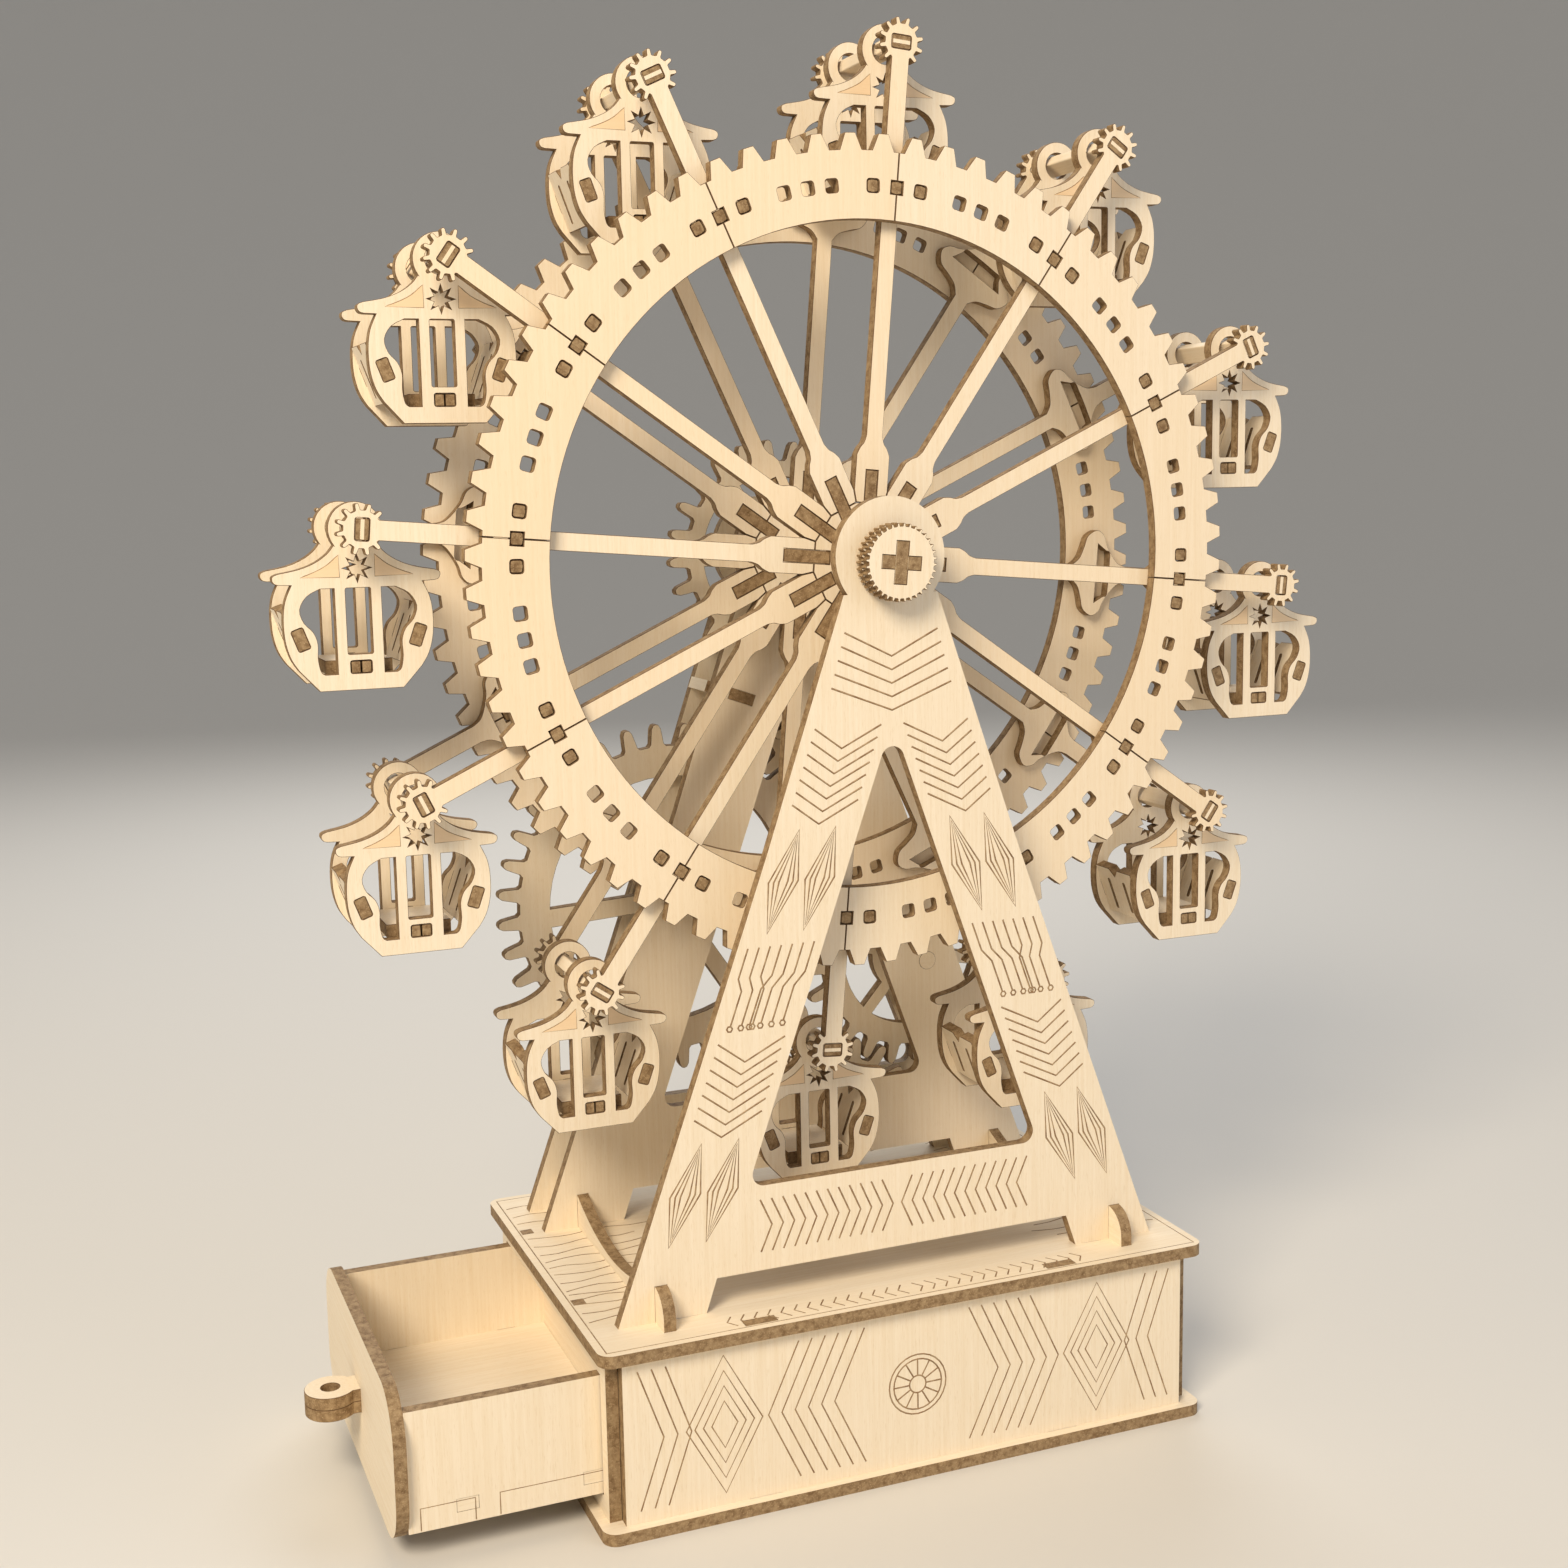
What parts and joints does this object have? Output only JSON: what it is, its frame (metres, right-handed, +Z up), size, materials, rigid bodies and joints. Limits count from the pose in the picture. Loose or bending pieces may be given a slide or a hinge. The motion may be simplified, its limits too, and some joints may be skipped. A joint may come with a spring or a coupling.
{
  "type": "wooden ferris wheel crank toy",
  "caption": "Laser-cut plywood ferris wheel with hanging cabins, turned by a crank through a gear train between its rear frames, on a box base with a side drawer.",
  "frame": {"origin": "centre of the base box's underside", "axes": "+Z up, -Y towards the front frame with the plain panel, the drawer opens to -X"},
  "size_m": [0.2774, 0.128, 0.347],
  "materials": {
    "plywood": "pale unfinished plywood with brown laser-cut edges",
    "dowel": "plain turned wood"
  },
  "bodies": {
    "base": {"base_bottom": "plywood", "base_top": "plywood", "base_front_panel": "plywood", "base_back_panel": "plywood", "base_left_wall": "plywood", "base_right_wall": "plywood", "inner_wall": "plywood", "drawer_runners": "plywood", "front_frame": "plywood", "rear_frame_inner": "plywood", "rear_frame_outer": "plywood", "long_braces": "plywood", "frame_tie": "plywood", "gear_pins": "plywood"},
    "drawer": {"drawer_front": "plywood", "drawer_sides": "plywood", "drawer_back": "plywood", "drawer_floor": "plywood", "drawer_pull": "plywood"},
    "wheel": {"front_ring": "plywood", "rear_ring": "plywood", "front_arms": "plywood", "rear_arms": "plywood", "hub_discs": "plywood", "wheel_axle": "plywood", "axle_cap": "plywood", "axle_sleeves": "plywood", "cabin_axles": "plywood", "wheel_gear": "plywood"},
    "transfer": {"transfer_gear_small": "plywood", "transfer_gear_large": "plywood", "transfer_shaft": "plywood"},
    "large_gear": {"large_gear": "plywood"},
    "idler_gear": {"idler_gear": "plywood"},
    "crank": {"crank_pinion": "plywood", "crank_shaft": "plywood", "crank_arm": "plywood", "crank_handle": "dowel"},
    "cabin_01": {"cabin_01": "plywood"},
    "cabin_02": {"cabin_02": "plywood"},
    "cabin_03": {"cabin_03": "plywood"},
    "cabin_04": {"cabin_04": "plywood"},
    "cabin_05": {"cabin_05": "plywood"},
    "cabin_06": {"cabin_06": "plywood"},
    "cabin_07": {"cabin_07": "plywood"},
    "cabin_08": {"cabin_08": "plywood"},
    "cabin_09": {"cabin_09": "plywood"},
    "cabin_10": {"cabin_10": "plywood"},
    "cabin_11": {"cabin_11": "plywood"},
    "cabin_12": {"cabin_12": "plywood"}
  },
  "joints": [
    {"name": "wheel_spin", "type": "hinge", "parent": "base", "child": "wheel", "pos_m": [0, 0, 0.22125], "axis": [0, 1, 0], "continuous": true},
    {"name": "transfer_spin", "type": "hinge", "parent": "base", "child": "transfer", "pos_m": [0.01838, 0.033, 0.17908], "axis": [0, 1, 0], "continuous": true},
    {"name": "large_gear_spin", "type": "hinge", "parent": "base", "child": "large_gear", "pos_m": [-0.03093, 0.0363, 0.1294], "axis": [0, 1, 0], "continuous": true},
    {"name": "idler_spin", "type": "hinge", "parent": "base", "child": "idler_gear", "pos_m": [0.0406, 0.0363, 0.10685], "axis": [0, 1, 0], "continuous": true},
    {"name": "crank_spin", "type": "hinge", "parent": "base", "child": "crank", "pos_m": [0.02158, 0.055, 0.06607], "axis": [0, 1, 0], "continuous": true},
    {"name": "cabin_01_swing", "type": "hinge", "parent": "wheel", "child": "cabin_01", "pos_m": [0.01068, -0.006, 0.34103], "axis": [0, 1, 0], "continuous": true},
    {"name": "cabin_02_swing", "type": "hinge", "parent": "wheel", "child": "cabin_02", "pos_m": [-0.05064, -0.006, 0.33032], "axis": [0, 1, 0], "continuous": true},
    {"name": "cabin_03_swing", "type": "hinge", "parent": "wheel", "child": "cabin_03", "pos_m": [-0.09839, -0.006, 0.29038], "axis": [0, 1, 0], "continuous": true},
    {"name": "cabin_04_swing", "type": "hinge", "parent": "wheel", "child": "cabin_04", "pos_m": [-0.11978, -0.006, 0.23193], "axis": [0, 1, 0], "continuous": true},
    {"name": "cabin_05_swing", "type": "hinge", "parent": "wheel", "child": "cabin_05", "pos_m": [-0.10907, -0.006, 0.17061], "axis": [0, 1, 0], "continuous": true},
    {"name": "cabin_06_swing", "type": "hinge", "parent": "wheel", "child": "cabin_06", "pos_m": [-0.06913, -0.006, 0.12286], "axis": [0, 1, 0], "continuous": true},
    {"name": "cabin_07_swing", "type": "hinge", "parent": "wheel", "child": "cabin_07", "pos_m": [-0.01068, -0.006, 0.10147], "axis": [0, 1, 0], "continuous": true},
    {"name": "cabin_08_swing", "type": "hinge", "parent": "wheel", "child": "cabin_08", "pos_m": [0.05064, -0.006, 0.11218], "axis": [0, 1, 0], "continuous": true},
    {"name": "cabin_09_swing", "type": "hinge", "parent": "wheel", "child": "cabin_09", "pos_m": [0.09839, -0.006, 0.15212], "axis": [0, 1, 0], "continuous": true},
    {"name": "cabin_10_swing", "type": "hinge", "parent": "wheel", "child": "cabin_10", "pos_m": [0.11978, -0.006, 0.21057], "axis": [0, 1, 0], "continuous": true},
    {"name": "cabin_11_swing", "type": "hinge", "parent": "wheel", "child": "cabin_11", "pos_m": [0.10907, -0.006, 0.27189], "axis": [0, 1, 0], "continuous": true},
    {"name": "cabin_12_swing", "type": "hinge", "parent": "wheel", "child": "cabin_12", "pos_m": [0.06913, -0.006, 0.31964], "axis": [0, 1, 0], "continuous": true},
    {"name": "drawer_slide", "type": "slide", "parent": "base", "child": "drawer", "axis": [-1, 0, 0], "range_m": [-0.0451, 0.004]}
  ],
  "couplings": [
    {"joint": "transfer_spin", "follows": "wheel_spin", "ratio": -1.5},
    {"joint": "large_gear_spin", "follows": "wheel_spin", "ratio": 0.83333},
    {"joint": "idler_spin", "follows": "wheel_spin", "ratio": -1.25},
    {"joint": "crank_spin", "follows": "wheel_spin", "ratio": 2.5},
    {"joint": "cabin_01_swing", "follows": "wheel_spin", "ratio": -1},
    {"joint": "cabin_02_swing", "follows": "wheel_spin", "ratio": -1},
    {"joint": "cabin_03_swing", "follows": "wheel_spin", "ratio": -1},
    {"joint": "cabin_04_swing", "follows": "wheel_spin", "ratio": -1},
    {"joint": "cabin_05_swing", "follows": "wheel_spin", "ratio": -1},
    {"joint": "cabin_06_swing", "follows": "wheel_spin", "ratio": -1},
    {"joint": "cabin_07_swing", "follows": "wheel_spin", "ratio": -1},
    {"joint": "cabin_08_swing", "follows": "wheel_spin", "ratio": -1},
    {"joint": "cabin_09_swing", "follows": "wheel_spin", "ratio": -1},
    {"joint": "cabin_10_swing", "follows": "wheel_spin", "ratio": -1},
    {"joint": "cabin_11_swing", "follows": "wheel_spin", "ratio": -1},
    {"joint": "cabin_12_swing", "follows": "wheel_spin", "ratio": -1}
  ]
}
